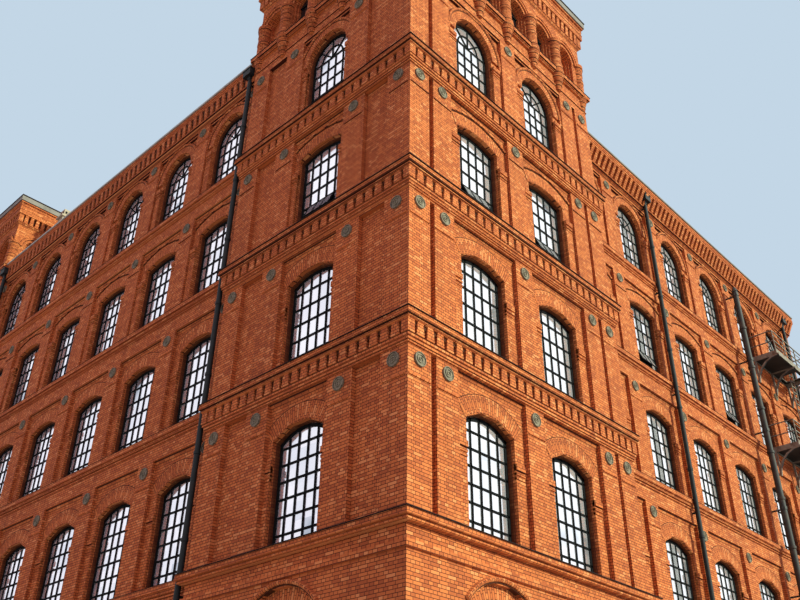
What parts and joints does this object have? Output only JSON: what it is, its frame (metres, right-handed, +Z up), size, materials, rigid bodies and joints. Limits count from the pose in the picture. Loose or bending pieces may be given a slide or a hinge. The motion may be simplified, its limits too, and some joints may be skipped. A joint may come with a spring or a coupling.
{
  "type": "brick factory building",
  "caption": "Brick factory block cut from a row: end elevation between corner towers with arcaded belvederes, long sides of arched iron windows, hollow with floors.",
  "frame": {"origin": "centre of the block's plan at ground level", "axes": "+X from the end elevation along the long sides to the party wall, +Y along the end elevation from the corner tower to the far tower, +Z up"},
  "size_m": [30.8676, 35.22, 30.3353],
  "materials": {
    "brick": null,
    "iron_windows": "dark painted iron with glass",
    "sheet_roofing": "grey sheet metal",
    "galvanised_pipe": "dull galvanised",
    "painted_steel": "dark paint with rust",
    "floor_boards": "worn boards",
    "render": "pale render"
  },
  "bodies": {
    "root": {"belvedere_floors": "floor_boards", "corner_belvedere_end_wall": "brick", "corner_belvedere_side_wall": "brick", "corner_tower_end_wall": "brick", "corner_tower_end_windows": "iron_windows", "corner_tower_inner_wall": "brick", "corner_tower_return_wall": "brick", "corner_tower_roof": "sheet_roofing", "corner_tower_side_wall": "brick", "corner_tower_side_windows": "iron_windows", "end_wall": "brick", "end_wall_downpipe": "galvanised_pipe", "end_wall_windows": "iron_windows", "far_belvedere_end_wall": "brick", "far_belvedere_side_wall": "brick", "far_end_wall_downpipe": "galvanised_pipe", "far_front_wall_downpipe": "galvanised_pipe", "far_tower_end_wall": "brick", "far_tower_end_windows": "iron_windows", "far_tower_inner_wall": "brick", "far_tower_return_wall": "brick", "far_tower_roof": "sheet_roofing", "far_tower_side_wall": "brick", "far_tower_side_windows": "iron_windows", "fire_escape_brackets": "painted_steel", "fire_escape_decks": "painted_steel", "fire_escape_ladder": "painted_steel", "fire_escape_railings": "painted_steel", "floor_1": "floor_boards", "floor_2": "floor_boards", "floor_3": "floor_boards", "floor_4": "floor_boards", "floor_5": "floor_boards", "flue_pipe": "galvanised_pipe", "front_wall": "brick", "front_wall_downpipe": "galvanised_pipe", "front_wall_windows": "iron_windows", "main_roof": "sheet_roofing", "party_wall": "brick", "rear_wall": "brick", "rear_wall_windows": "iron_windows", "roof_chimney": "render"}
  },
  "joints": []
}
